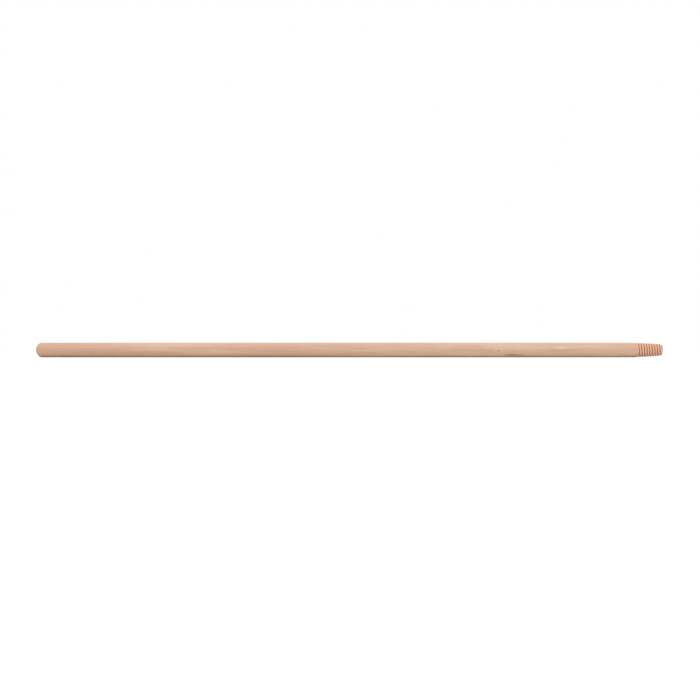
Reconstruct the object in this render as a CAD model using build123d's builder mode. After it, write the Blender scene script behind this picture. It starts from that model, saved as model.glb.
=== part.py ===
# Wooden roller extension pole: one stick of hardwood, turned and threaded.
#
# The pole lies along X on the plane z = 0, with its domed butt at -X and its threaded tip at +X.
# The origin is on that plane, under the middle of the pole. All sizes are in millimetres.

from build123d import *

import os
from math import atan, cos, degrees, radians, tan

os.makedirs("parts", exist_ok=True)

# Driving dimensions
inch = 25.4
pole_length = 48 * inch
shaft_diameter = 1.125 * inch

butt_depth = 9.2  # how far the domed end reaches past the straight shaft
butt_edge_radius = 6.0  # softened edge between the dome and the shaft

thread_length = 2 * inch  # from the shoulder to the end of the tip
thread_pitch = inch / 5  # five turns to the inch, right-handed, one start
shoulder_step = 0.35  # how far the tip is turned down where it meets the shaft
taper_angle = 2.8  # half angle of the thread's gentle taper, over its crests and along its floor
taper_bulge = 0.2  # how far the crests stand outside a straight cone
nose_length = 10.5  # the steeper, rounded stretch before the flat end face
nose_angle = 10.0
nose_bulge = 0.35

groove_depth = 1.8  # at the shoulder
groove_width = 2.3  # across the mouth, at the shoulder
groove_floor_radius = 0.5
groove_start = 0.9  # full depth begins this far past the shoulder, on the underside
run_out_turn = 0.25  # the share of a turn in which the groove fades out at the shoulder
cutter_margin = 0.8  # how far the cutter stands outside the wood

# Worked-out places
shaft_radius = shaft_diameter / 2
butt_x = -pole_length / 2
tip_x = pole_length / 2
shoulder_x = tip_x - thread_length
nose_x = tip_x - nose_length
taper_start_x = shoulder_x + shoulder_step
taper_start_radius = shaft_radius - shoulder_step
waist_radius = taper_start_radius - (nose_x - taper_start_x) * tan(radians(taper_angle))
tip_end_radius = waist_radius - nose_length * tan(radians(nose_angle))
pole_axis = Axis((0, 0, shaft_radius), (1, 0, 0))
side_plane = Plane(origin=(0, 0, shaft_radius), x_dir=(1, 0, 0), z_dir=(0, -1, 0))


def bulged_arc(start, end, bulge):
    """An arc between two points of the outline, standing outside their chord by bulge."""
    chord = Vector(*end) - Vector(*start)
    outward = Vector(-chord.Y, chord.X).normalized()
    middle = (Vector(*start) + Vector(*end)) / 2 + outward * bulge
    return ThreePointArc(start, middle, end)


def groove_path(start_x, start_radius, turns, cone_angle, start_turn):
    """A right-handed helix on a cone about the pole's axis. Its turns are one pitch apart along the axis."""
    helix = Helix(
        pitch=thread_pitch / cos(radians(cone_angle)),
        height=abs(turns) * thread_pitch,
        radius=start_radius,
        center=(start_x, 0, shaft_radius),
        direction=(1, 0, 0),
        cone_angle=cone_angle,
        mode=Mode.PRIVATE,
    )
    return helix.rotate(pole_axis, start_turn * 360)


def groove_cutter(path):
    """The wood that the thread's groove removes: a section with a round floor, swept along path."""
    start = path @ 0
    outward = (start - Vector(start.X, 0, shaft_radius)).normalized()
    flank_slope = (groove_width / 2 - groove_floor_radius) / groove_depth
    mouth_height = groove_depth + cutter_margin
    mouth_half_width = groove_floor_radius + flank_slope * mouth_height
    with BuildPart() as cutter:
        with BuildSketch(Plane(origin=start, x_dir=outward, z_dir=path % 0)):
            with BuildLine():
                Polyline(
                    (0, -groove_floor_radius),
                    (mouth_height, -mouth_half_width),
                    (mouth_height, mouth_half_width),
                    (0, groove_floor_radius),
                )
                ThreePointArc(
                    (0, groove_floor_radius), (-groove_floor_radius, 0), (0, -groove_floor_radius)
                )
            make_face()
        sweep(path=path, is_frenet=True)
    return cutter.part


# The thread's groove, at its full depth from just past the shoulder to beyond the end of the tip
floor_radius = taper_start_radius - groove_depth + groove_floor_radius
groove_x = shoulder_x + groove_start
groove_turns = (tip_x + groove_width - groove_x) / thread_pitch
groove = groove_cutter(groove_path(groove_x, floor_radius, groove_turns, -taper_angle, 0.5))

# The groove's first stretch, where the cutter sinks into the wood at the shoulder
fade_length = run_out_turn * thread_pitch
fade_rise = groove_depth + groove_floor_radius
fade_angle = degrees(atan(fade_rise / fade_length))
fade_path = groove_path(
    groove_x - fade_length, floor_radius + fade_rise, run_out_turn, -fade_angle, 0.5 - run_out_turn
)
fade = groove_cutter(fade_path)

# The pole: a turned blank with the thread cut in it
with BuildPart() as pole:
    with BuildSketch(side_plane) as outline:
        with BuildLine():
            dome_radius = (shaft_radius**2 + butt_depth**2) / (2 * butt_depth)
            RadiusArc((butt_x, 0), (butt_x + butt_depth, shaft_radius), dome_radius)
            taper_start = (taper_start_x, taper_start_radius)
            waist = (nose_x, waist_radius)
            tip_edge = (tip_x, tip_end_radius)
            Polyline((butt_x + butt_depth, shaft_radius), (shoulder_x, shaft_radius), taper_start)
            bulged_arc(taper_start, waist, taper_bulge)
            bulged_arc(waist, tip_edge, nose_bulge)
            Polyline(tip_edge, (tip_x, 0), (butt_x, 0))
        make_face()
        dome_corner = outline.vertices().group_by(Axis.X)[1]
        fillet(dome_corner, butt_edge_radius)
    revolve(axis=pole_axis)
    add(groove, mode=Mode.SUBTRACT)
    add(fade, mode=Mode.SUBTRACT)

pole.part.label = "pole"
export_step(pole.part, "parts/pole.step")

print(f"pole: {pole_length:.1f} long, {shaft_diameter:.3f} thick, volume {pole.part.volume:.0f}")
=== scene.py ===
# %% [markdown]
# # A wooden roller extension pole
# The real pole is one stick of pale hardwood. A moulder rounds it, a sander domes the butt, and a die
# cuts a coarse thread into its tapered tip. It could be modelled as a cylinder with a bolt tool's
# thread, but a bolt's thread is sharp and straight. Here the whole skin is one formula, radius as a
# function of place and angle, so that the dome, the taper and the worn groove all run into each other
# as they do in the wood.

# %% Load the frame
from math import radians, tan

import bpy
import numpy as np
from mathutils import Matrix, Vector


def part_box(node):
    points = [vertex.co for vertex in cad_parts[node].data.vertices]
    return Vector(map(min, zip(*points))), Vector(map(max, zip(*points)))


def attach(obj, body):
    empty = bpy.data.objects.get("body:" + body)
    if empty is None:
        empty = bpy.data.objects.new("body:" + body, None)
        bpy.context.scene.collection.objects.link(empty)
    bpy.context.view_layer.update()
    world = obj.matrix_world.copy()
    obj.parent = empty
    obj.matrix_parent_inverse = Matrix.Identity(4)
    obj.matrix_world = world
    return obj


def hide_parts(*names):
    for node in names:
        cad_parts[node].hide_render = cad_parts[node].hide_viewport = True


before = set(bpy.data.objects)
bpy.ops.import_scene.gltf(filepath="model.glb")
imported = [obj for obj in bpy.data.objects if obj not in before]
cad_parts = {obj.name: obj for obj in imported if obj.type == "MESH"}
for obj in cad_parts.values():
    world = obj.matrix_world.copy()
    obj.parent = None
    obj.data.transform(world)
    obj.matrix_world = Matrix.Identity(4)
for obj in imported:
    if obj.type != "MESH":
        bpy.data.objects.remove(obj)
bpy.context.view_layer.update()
low, high = (np.array(corner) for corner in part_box("pole"))
mm = 0.001
shaft_radius = (high[2] - low[2]) / 2
butt_x = low[0]
tip_x = high[0]
axis_z = low[2] + shaft_radius
print(f"pole: {tip_x - butt_x:.4f} m long, {2 * shaft_radius:.5f} m thick")

# %% [markdown]
# ## The turned outline
# Before the thread is cut, the stick is a turned shape: a shallow dome with a softened edge, a
# straight shaft, a tiny step down, a gentle taper and a rounder nose. A lathe profile could be drawn
# as a curve and spun. A function of the distance along the pole does the same and can be asked for
# any number of rings.

# %% Turned outline
butt_depth = 9.2 * mm
dome_blend = 1.0 * mm  # how widely the dome's edge is softened
thread_length = 50.8 * mm
thread_pitch = 5.08 * mm
shoulder_step = 0.35 * mm
taper_slope = tan(radians(2.8))
taper_bulge = 0.2 * mm
nose_length = 10.5 * mm
nose_slope = tan(radians(10))
nose_bulge = 0.35 * mm
shoulder_x = tip_x - thread_length
nose_x = tip_x - nose_length
taper_length = thread_length - nose_length


def smooth_step(share):
    """0 below 0, 1 above 1, and 3t^2 - 2t^3 between them."""
    t = np.clip(share, 0, 1)
    return t * t * (3 - 2 * t)


def arch(share):
    """0 at both ends and 1 in the middle, as a parabola."""
    return 4 * share * (1 - share)


def turned_radius(x):
    """Radius of the turned blank at x: dome or shaft, whichever is less, then two bulged cones."""
    sphere = (shaft_radius**2 + butt_depth**2) / (2 * butt_depth)
    from_centre = np.clip(butt_x + sphere - x, 0, sphere)
    dome = np.sqrt(np.maximum(sphere**2 - from_centre**2, 0))
    share = np.clip(0.5 + 0.5 * (dome - shaft_radius) / dome_blend, 0, 1)
    body = dome + (shaft_radius - dome) * share - dome_blend * share * (1 - share)
    past_shoulder = np.clip(x - shoulder_x, 0, taper_length)
    past_waist = np.clip(x - nose_x, 0, nose_length)
    bulge = taper_bulge * arch(past_shoulder / taper_length) + nose_bulge * arch(past_waist / nose_length)
    step = shoulder_step * smooth_step(past_shoulder / (2 * shoulder_step))
    return body - step - past_shoulder * taper_slope - past_waist * nose_slope + bulge


print(f"end of the tip: {2000 * turned_radius(np.array([tip_x]))[0]:.1f} mm across")

# %% [markdown]
# ## The thread
# The die leaves one right-handed groove, five turns to the inch, with broad ridges between. It sinks
# in over a quarter of a turn at the shoulder. A boolean cut would give hard edges and poor faces.
# Instead each point of the skin asks how far it is, along the pole, from the nearest turn of the
# groove, and sinks by a rounded profile. Wood tears a little as it is cut, so the groove's depth and
# width wander and a few ridges are chipped.

# %% Groove
groove_depth = 1.8 * mm
groove_half_width = 1.1 * mm
groove_floor_half_width = 0.25 * mm
groove_x = shoulder_x + 0.9 * mm  # where it reaches full depth, on the underside
run_out_turn = 0.25
thread_turns = (tip_x - groove_x) / thread_pitch
width_wander = 0.16
depth_wander = 0.1
chip_count = 26
chip_turn = 0.018  # a chip's spread round the pole, as a share of a turn
seeded = np.random.default_rng(5)


def wander(turns, waves, amplitude):
    """A sum of sines along the helix, with seeded speeds and starts, at most amplitude high."""
    speed = seeded.uniform(0.6, 6, waves)[:, None, None]
    start = seeded.uniform(0, 2 * np.pi, waves)[:, None, None]
    return amplitude * np.sin(speed * turns * 2 * np.pi / 3 + start).sum(axis=0) / waves


def cut_groove(x, turn):
    """How far down the groove each point is, 0 on a ridge to 1 on the floor, and the floor's depth.

    turn is 0 on top of the pole, 0.25 on the near side and 0.5 underneath.
    """
    steps = (x - groove_x) / thread_pitch - (turn - 0.5)
    nearest = np.round(steps)
    along = nearest + turn - 0.5
    off = np.abs(steps - nearest) * thread_pitch
    half_width = groove_half_width * (1 + wander(along, 9, width_wander))
    chip_at = seeded.uniform(0, thread_turns, chip_count)
    chip_size = seeded.uniform(0.1, 0.45, chip_count) * mm
    for at, size in zip(chip_at, chip_size):
        half_width = half_width + size * np.exp(-(((along - at) / chip_turn) ** 2))
    share = smooth_step((half_width - off) / (half_width - groove_floor_half_width))
    depth = groove_depth * (1 + wander(along, 7, depth_wander))
    return share * smooth_step(1 + along / run_out_turn), depth


print(f"thread: {thread_turns:.1f} turns at full depth")

# %% [markdown]
# ## The skin's rings
# Rings of points run from the butt to the tip, close together where the shape changes and far apart
# on the plain shaft. Evenly spaced rings would waste most of their points on the shaft. The stick is
# a hair out of round, as sanded wood is, and the rim of its sawn end is just broken.

# %% Rings along the pole
columns = 160
dome_rings = 29
shaft_rings = 121
thread_rings = 261
dome_reach = 1.35 * butt_depth  # past the dome's softened edge
thread_lead = 3 * mm  # the fine rings begin this far before the shoulder
last_ring_gap = 0.3 * mm
dome_share = np.linspace(0, 1, dome_rings + 1)[1:]
dome_rows = butt_x + dome_reach * dome_share**2
shaft_rows = np.linspace(dome_rows[-1], shoulder_x - thread_lead, shaft_rings + 1)[1:]
thread_rows = np.linspace(shoulder_x - thread_lead, tip_x - last_ring_gap, thread_rings + 1)[1:]
rows_x = np.concatenate([dome_rows, shaft_rows, thread_rows])
turn = np.arange(columns) / columns
grid_x, grid_turn = np.meshgrid(rows_x, turn, indexing="ij")
groove, floor_depth = cut_groove(grid_x, grid_turn)

oval_depth = 0.06 * mm
oval_twist = 5  # how far the oval's phase runs on, in radians for each metre
out_of_round = oval_depth * (1 - np.cos(grid_turn * 4 * np.pi + grid_x * oval_twist))
rim_depth = 0.25 * mm
rim_start = 1.0 * mm  # before the end of the tip
rim_width = 0.7 * mm
rim = rim_depth * smooth_step((grid_x - tip_x + rim_start) / rim_width)
grid_radius = turned_radius(grid_x) - groove * floor_depth - out_of_round - rim
print(f"rings: {len(rows_x)} of {columns} points")

# %% [markdown]
# ## The sawn end
# The tip is sawn square, which leaves faint parallel marks. A bump pattern could suggest them, but
# they would vanish from the bare mesh. So the end is closed with shrinking rings, which sink by a low
# wave across the face.

# %% Sawn end
face_rings = 14
saw_depth = 0.04 * mm
saw_wave = 0.35 * mm  # the marks are 2 pi times this apart
face_share = np.linspace(1, 0, face_rings + 1)[:-1, None]
face_radius = (grid_radius[-1] - rim_depth)[None, :] * face_share
across_face = face_radius * np.sin(turn * 2 * np.pi)[None, :]
saw_marks = saw_depth * (1 + np.sin(across_face / saw_wave))
face_x = tip_x - saw_marks * (face_share < 1)
print(f"sawn end: {2000 * face_radius.max():.1f} mm across, inside its rim")

# %% [markdown]
# ## One closed mesh
# The rings become one skin, as the real pole is one surface. A tube with two discs set on it would
# show two seams. Here neighbouring rings are joined by quads, and a fan of triangles closes each end
# on one point. How deep a point lies in the groove is kept with it, for the groove's painted shade
# and its dust.

# %% Build the skin
ring_x = np.concatenate([grid_x, face_x])
ring_radius = np.concatenate([grid_radius, face_radius])
ring_groove = np.concatenate([groove, np.zeros_like(face_radius)])
angle = np.broadcast_to(turn, ring_x.shape) * 2 * np.pi
ring_points = np.stack(
    [ring_x, -ring_radius * np.sin(angle), axis_z + ring_radius * np.cos(angle)], axis=-1
)
end_points = [[butt_x, 0, axis_z], [tip_x, 0, axis_z]]
points = np.concatenate([ring_points.reshape(-1, 3), end_points])

corner = np.arange(ring_x.size).reshape(ring_x.shape)
beside = np.roll(corner, -1, axis=1)
quads = np.stack([corner[:-1], beside[:-1], beside[1:], corner[1:]], axis=-1).reshape(-1, 4)
butt_fan = np.stack([np.full(columns, ring_x.size), beside[0], corner[0]], axis=-1)
tip_fan = np.stack([np.full(columns, ring_x.size + 1), corner[-1], beside[-1]], axis=-1)
faces = quads.tolist() + butt_fan.tolist() + tip_fan.tolist()

skin = bpy.data.meshes.new("pole_skin")
skin.from_pydata(points.tolist(), [], faces)
skin.polygons.foreach_set("use_smooth", np.ones(len(faces), bool))
groove_attribute = skin.attributes.new("groove", "FLOAT", "POINT")
groove_attribute.data.foreach_set("value", np.append(ring_groove.ravel(), [0, 0]))
skin.update()
pole = bpy.data.objects.new("turned_pole", skin)
bpy.context.scene.collection.objects.link(pole)
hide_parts("pole")
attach(pole, "root")
print(f"skin: {len(points)} points, {2 * len(quads) + 2 * columns} triangles")

# %% [markdown]
# ## Helpers for the wood
# Wood's pattern is solid: it runs through the stick and comes out at the ends as rings. A picture of
# grain could be wrapped around it, but it would stretch on the dome. So every layer reads the
# object's own coordinates, stretched along the pole as the fibres are. These helpers each make one
# small step of that.

# %% Node helpers


def linear(red, green, blue):
    """A colour picked on screen, 0 to 255, as the linear colour that a shader wants."""
    share = np.array([red, green, blue]) / 255
    low_part = share / 12.92
    high_part = ((share + 0.055) / 1.055) ** 2.4
    return (*np.where(share <= 0.04045, low_part, high_part).tolist(), 1.0)


def socket_value(tree, socket, value):
    """Link value into socket if it is another socket, or set it as the socket's number."""
    if isinstance(value, bpy.types.NodeSocket):
        tree.links.new(value, socket)
    else:
        socket.default_value = value


def math_node(tree, operation, first, second=0.0, third=0.0):
    """One Math node's output."""
    node = tree.nodes.new("ShaderNodeMath")
    node.operation = operation
    for socket, value in zip(node.inputs, (first, second, third)):
        socket_value(tree, socket, value)
    return node.outputs[0]


def vector_math(tree, operation, first, second=(0, 0, 0)):
    """One Vector Math node."""
    node = tree.nodes.new("ShaderNodeVectorMath")
    node.operation = operation
    socket_value(tree, node.inputs[0], first)
    socket_value(tree, node.inputs[1], second)
    return node


def ramp(tree, value, low_value, high_value):
    """0 at low_value to 1 at high_value, smoothly."""
    node = tree.nodes.new("ShaderNodeMapRange")
    node.interpolation_type = "SMOOTHSTEP"
    tree.links.new(value, node.inputs["Value"])
    node.inputs["From Min"].default_value = low_value
    node.inputs["From Max"].default_value = high_value
    return node.outputs[0]


print(f"half grey on screen is {linear(128, 128, 128)[0]:.3f} as a linear colour")


# %% [markdown]
# ## Layers of colour
# A real plank's colour is many faint layers seen at once. Each could be its own material, mixed at
# the end. It is simpler to lay them one over another, like glazes: a colour, a mask and a strength
# for each.

# %% Noise, layers and spots


def stretched_noise(tree, vector, scale, detail, roughness=0.5):
    """Noise with a scale of its own along X, Y and Z, in blobs per metre."""
    mapping = tree.nodes.new("ShaderNodeMapping")
    mapping.inputs["Scale"].default_value = scale
    tree.links.new(vector, mapping.inputs["Vector"])
    noise = tree.nodes.new("ShaderNodeTexNoise")
    noise.inputs["Scale"].default_value = 1.0
    noise.inputs["Detail"].default_value = detail
    noise.inputs["Roughness"].default_value = roughness
    tree.links.new(mapping.outputs[0], noise.inputs["Vector"])
    return noise.outputs[0]


def blend(tree, factor, first, second):
    """Two colours mixed by factor."""
    node = tree.nodes.new("ShaderNodeMix")
    node.data_type = "RGBA"
    socket_value(tree, node.inputs[0], factor)
    socket_value(tree, node.inputs[6], first)
    socket_value(tree, node.inputs[7], second)
    return node.outputs[2]


def glaze(tree, under, mask, strength, over):
    """The colour over, laid on under where mask is 1, at most strength strong."""
    return blend(tree, math_node(tree, "MULTIPLY", mask, strength), under, over)


def soft_spot(tree, vector, centre, size):
    """A mask that is 1 at centre and fades to 0 on an ellipsoid of the given half sizes."""
    shifted = vector_math(tree, "SUBTRACT", vector, centre)
    shrunk = vector_math(tree, "DIVIDE", shifted.outputs[0], size)
    length = vector_math(tree, "LENGTH", shrunk.outputs[0])
    return ramp(tree, length.outputs["Value"], 1.0, 0.2)


print("layers: stretched_noise, blend, glaze and soft_spot are ready")


# %% [markdown]
# ## The wood's tone
# The stick is a pale, fine-grained hardwood, a warmer tan at the butt and paler towards the tip. One
# flat colour would look like plastic, and an even fade like paint. So the fade along the pole is
# pushed about by slow noise.

# %% Tone along the stick
wood = bpy.data.materials.new("sealed_hardwood")
wood.use_nodes = True
tree = wood.node_tree
shader = tree.nodes["Principled BSDF"]
place = tree.nodes.new("ShaderNodeTexCoord").outputs["Object"]
split = tree.nodes.new("ShaderNodeSeparateXYZ")
tree.links.new(place, split.inputs[0])
along_x, across_y, height_z = split.outputs

tan_wood = linear(221, 181, 153)
pale_wood = linear(229, 194, 168)
patches = stretched_noise(tree, place, (7, 30, 30), 2)
drift = math_node(tree, "MULTIPLY_ADD", patches, 0.5, along_x)
colour = blend(tree, ramp(tree, drift, -0.15, 0.75), tan_wood, pale_wood)
print(f"tone: {len(tree.nodes)} nodes so far")

# %% [markdown]
# ## Growth rings
# The stick is cut from a plank, so the tree's pith lies outside it, and the rings cross it as gentle
# curves. A wave texture could draw them, but its bands are too even. The distance from the pith,
# wobbled by noise, goes through a sine, which gives long flames along the sides and arcs on the ends.

# %% Growth rings
pith_offset_y = 0.021
pith_offset_z = 0.013
ring_spacing = 0.0023
ring_wobble = 0.006
wobble = stretched_noise(tree, place, (3, 45, 45), 2)
pith_y = math_node(tree, "ADD", across_y, pith_offset_y)
pith_z = math_node(tree, "ADD", height_z, pith_offset_z)
squared_z = math_node(tree, "MULTIPLY", pith_z, pith_z)
squared = math_node(tree, "MULTIPLY_ADD", pith_y, pith_y, squared_z)
from_pith = math_node(tree, "SQRT", squared)
ring_place = math_node(tree, "MULTIPLY_ADD", wobble, ring_wobble, from_pith)
ring_wave = math_node(tree, "SINE", math_node(tree, "MULTIPLY", ring_place, 2 * np.pi / ring_spacing))
late_wood = ramp(tree, ring_wave, -0.2, 1.0)
colour = glaze(tree, colour, late_wood, 0.22, linear(196, 149, 120))
print(f"growth rings: about {2 * shaft_radius / ring_spacing:.0f} cross the stick")

# %% [markdown]
# ## Fibres and pores
# Fibres run the length of the stick as broad soft streaks, fine dark lines and a few light ones.
# Pores are short dark dashes among them. All four are the same noise at different stretches, cut off
# at different heights.

# %% Fibres and pores
broad = ramp(tree, stretched_noise(tree, place, (9, 190, 190), 3), 0.38, 0.68)
colour = glaze(tree, colour, broad, 0.4, linear(203, 158, 129))
fine_fibres = stretched_noise(tree, place, (40, 1500, 1500), 4, 0.6)
fine = ramp(tree, fine_fibres, 0.42, 0.7)
colour = glaze(tree, colour, fine, 0.28, linear(186, 139, 110))
light_streaks = ramp(tree, stretched_noise(tree, place, (5, 110, 110), 2), 0.52, 0.72)
colour = glaze(tree, colour, light_streaks, 0.4, linear(238, 208, 184))
pores = ramp(tree, stretched_noise(tree, place, (260, 3600, 3600), 1), 0.66, 0.74)
colour = glaze(tree, colour, pores, 0.4, linear(150, 108, 84))
print(f"fibres and pores: {len(tree.nodes)} nodes so far")

# %% [markdown]
# ## Marks of this one stick
# The near side has a pin knot with a pale halo, a brown streak below it, a pale fleck nearer the tip
# and a smudge by the butt. Noise could scatter such marks at random, but a stick is known by where
# its marks are. So each is a soft ellipsoid at its own place, measured from the nearer end.

# %% Knot, streak, fleck and smudge
near_y = -shaft_radius
knot_x = tip_x - 0.319
streak_x = tip_x - 0.292
fleck_x = tip_x - 0.198
smudge_x = butt_x + 19 * mm

halo = soft_spot(tree, place, (knot_x, near_y, axis_z), (14 * mm, 6 * mm, 5 * mm))
colour = glaze(tree, colour, halo, 0.5, linear(240, 210, 186))
knot = soft_spot(tree, place, (knot_x, near_y, axis_z - 1 * mm), (4 * mm, 5 * mm, 1.3 * mm))
colour = glaze(tree, colour, knot, 0.85, linear(118, 78, 56))
streak_centre = (streak_x, near_y + 4 * mm, axis_z - 9 * mm)
streak = soft_spot(tree, place, streak_centre, (24 * mm, 6 * mm, 3 * mm))
colour = glaze(tree, colour, streak, 0.6, linear(168, 118, 88))
fleck = soft_spot(tree, place, (fleck_x, near_y, axis_z + 4 * mm), (22 * mm, 7 * mm, 4 * mm))
colour = glaze(tree, colour, fleck, 0.5, linear(241, 214, 190))
smudge = soft_spot(tree, place, (smudge_x, near_y, axis_z + 2 * mm), (7 * mm, 5 * mm, 2.5 * mm))
colour = glaze(tree, colour, smudge, 0.3, linear(190, 150, 124))
print(f"knot: {tip_x - knot_x:.3f} m from the end of the tip")

# %% [markdown]
# ## The bare thread and the sawn end
# The die cuts through the seal, so the ridges are bare and pinker. The groove is painted brown,
# partly as painted shade in the recess and partly as dust. The sawn end drinks up dust and is
# greyer. Separate materials would meet at a hard line of faces. Masks from the place along the pole,
# and from the groove's own depth, follow the cut instead.

# %% Thread and end colours
bare = ramp(tree, along_x, shoulder_x - 0.4 * mm, shoulder_x + 0.6 * mm)
bare_colour = blend(tree, 0.65, colour, linear(244, 186, 152))
colour = blend(tree, bare, colour, bare_colour)
groove_mask = tree.nodes.new("ShaderNodeAttribute")
groove_mask.attribute_name = "groove"
# Painted shade: the groove is painted brown by how deep each point lies, along with its dust.
groove_shade_and_dust = ramp(tree, groove_mask.outputs["Fac"], 0.2, 0.95)
colour = glaze(tree, colour, groove_shade_and_dust, 0.8, linear(158, 98, 68))
sawn = ramp(tree, along_x, tip_x - 0.45 * mm, tip_x - 0.1 * mm)
colour = glaze(tree, colour, sawn, 0.45, linear(176, 150, 132))
tree.links.new(colour, shader.inputs["Base Color"])
print(f"bare wood: the last {tip_x - shoulder_x:.4f} m")

# %% [markdown]
# ## Satin seal and raised grain
# A thin seal gives the shaft a satin sheen that breaks up along the fibres, and the bare thread is
# duller. The grain can just be felt. It is far finer than the mesh, so it is bump, from the fibres
# with the pores pressed in.

# %% Sheen and relief
roughness = math_node(tree, "MULTIPLY_ADD", fine_fibres, 0.16, 0.38)
roughness = math_node(tree, "MULTIPLY_ADD", bare, 0.25, roughness)
tree.links.new(roughness, shader.inputs["Roughness"])
shader.inputs["Specular IOR Level"].default_value = 0.35

relief = math_node(tree, "MULTIPLY_ADD", pores, -0.6, fine_fibres)
bump = tree.nodes.new("ShaderNodeBump")
bump.inputs["Strength"].default_value = 0.35
bump.inputs["Distance"].default_value = 0.08 * mm
tree.links.new(relief, bump.inputs["Height"])
tree.links.new(bump.outputs[0], shader.inputs["Normal"])
skin.materials.append(wood)
print(f"wood: {len(tree.nodes)} nodes")

# %% [markdown]
# ## The floor
# The pole lies on a pale floor that keeps its soft shadow. Brighter lamps could make the floor white,
# but they would bleach the wood too. So the floor glows a little, only to the eye and to mirrors, and
# lights nothing.

# %% Floor
floor_size = 30.0
floor_glow_strength = 0.19
floor_mesh = bpy.data.meshes.new("floor")
half = floor_size / 2
floor_corners = [(-half, -half, 0), (half, -half, 0), (half, half, 0), (-half, half, 0)]
floor_mesh.from_pydata(floor_corners, [], [(0, 1, 2, 3)])
floor = bpy.data.objects.new("floor", floor_mesh)
bpy.context.scene.collection.objects.link(floor)


def seen_directly(tree):
    """1 for rays from the eye, or by way of a mirror or glass, and 0 for those that light things."""
    path = tree.nodes.new("ShaderNodeLightPath")
    eye_or_mirror = math_node(
        tree, "MAXIMUM", path.outputs["Is Camera Ray"], path.outputs["Is Glossy Ray"]
    )
    return math_node(tree, "MAXIMUM", eye_or_mirror, path.outputs["Is Transmission Ray"])


floor_paint = bpy.data.materials.new("pale_floor")
floor_paint.use_nodes = True
floor_tree = floor_paint.node_tree
floor_shader = floor_tree.nodes["Principled BSDF"]
floor_shader.inputs["Base Color"].default_value = (0.86, 0.86, 0.86, 1)
floor_shader.inputs["Roughness"].default_value = 1.0
floor_shader.inputs["Specular IOR Level"].default_value = 0.0
floor_shader.inputs["Emission Color"].default_value = (1, 1, 1, 1)
floor_glow = math_node(floor_tree, "MULTIPLY", seen_directly(floor_tree), floor_glow_strength)
floor_tree.links.new(floor_glow, floor_shader.inputs["Emission Strength"])
floor_mesh.materials.append(floor_paint)
print(f"floor: {floor_size:.0f} m square")

# %% [markdown]
# ## Light from all round
# A pale studio's walls light the pole evenly from every side. Real walls could be built, but a plain
# world colour does the same. It is white to the eye and dimmer as a light, so that the wood keeps its
# own colour.

# %% World
world = bpy.data.worlds.new("studio")
bpy.context.scene.world = world
world.use_nodes = True
world_tree = world.node_tree
background = world_tree.nodes["Background"]
background.inputs["Color"].default_value = (1, 1, 1, 1)
fill_light = 0.62
world_strength = math_node(
    world_tree, "MULTIPLY_ADD", seen_directly(world_tree), 1 - fill_light, fill_light
)
world_tree.links.new(world_strength, background.inputs["Strength"])
print(f"world: full white to the eye, {fill_light} as a light")

# %% [markdown]
# ## The overhead light
# A broad light above and a little in front brightens the pole's upper side and leaves a thin dark
# band below. An area lamp's light would fall away along a pole this long, so this is a very wide,
# soft sun, the same at both ends.

# %% Soft light
lamp = bpy.data.lights.new("overhead", "SUN")
lamp.angle = radians(70)
lamp.energy = 1.25
lamp_object = bpy.data.objects.new("overhead", lamp)
lamp_object.location = (0, 0, 2)
lamp_object.rotation_euler = (radians(22), 0, 0)
bpy.context.scene.collection.objects.link(lamp_object)
print(f"overhead: {lamp.energy:.2f} W for each square metre")

# %% [markdown]
# ## The camera
# The camera looks square at the pole's side, level with its axis. A camera with no perspective would
# do, but a long lens keeps a little depth. The distance is worked out from how much of the view's
# width the pole fills, so it follows the pole's length. The camera stands so low that the floor
# passes just under it, so its near clip is short.

# %% Camera
pole_share_of_view = 0.8943
sideways_share = 0.00143  # how far the view is moved along the pole, as a share of its width
view_width = (tip_x - butt_x) / pole_share_of_view
camera_data = bpy.data.cameras.new("side_view")
camera_data.lens = 100
camera_data.sensor_width = 36
camera_data.clip_start = 5 * mm  # the floor passes close under the lens
distance = view_width * camera_data.lens / camera_data.sensor_width
camera = bpy.data.objects.new("side_view", camera_data)
camera.location = (sideways_share * view_width, -distance, axis_z)
camera.rotation_euler = (radians(90), 0, 0)
bpy.context.scene.collection.objects.link(camera)
bpy.context.scene.camera = camera
bpy.context.scene.view_settings.view_transform = "Standard"
print(f"camera: {distance:.2f} m away")
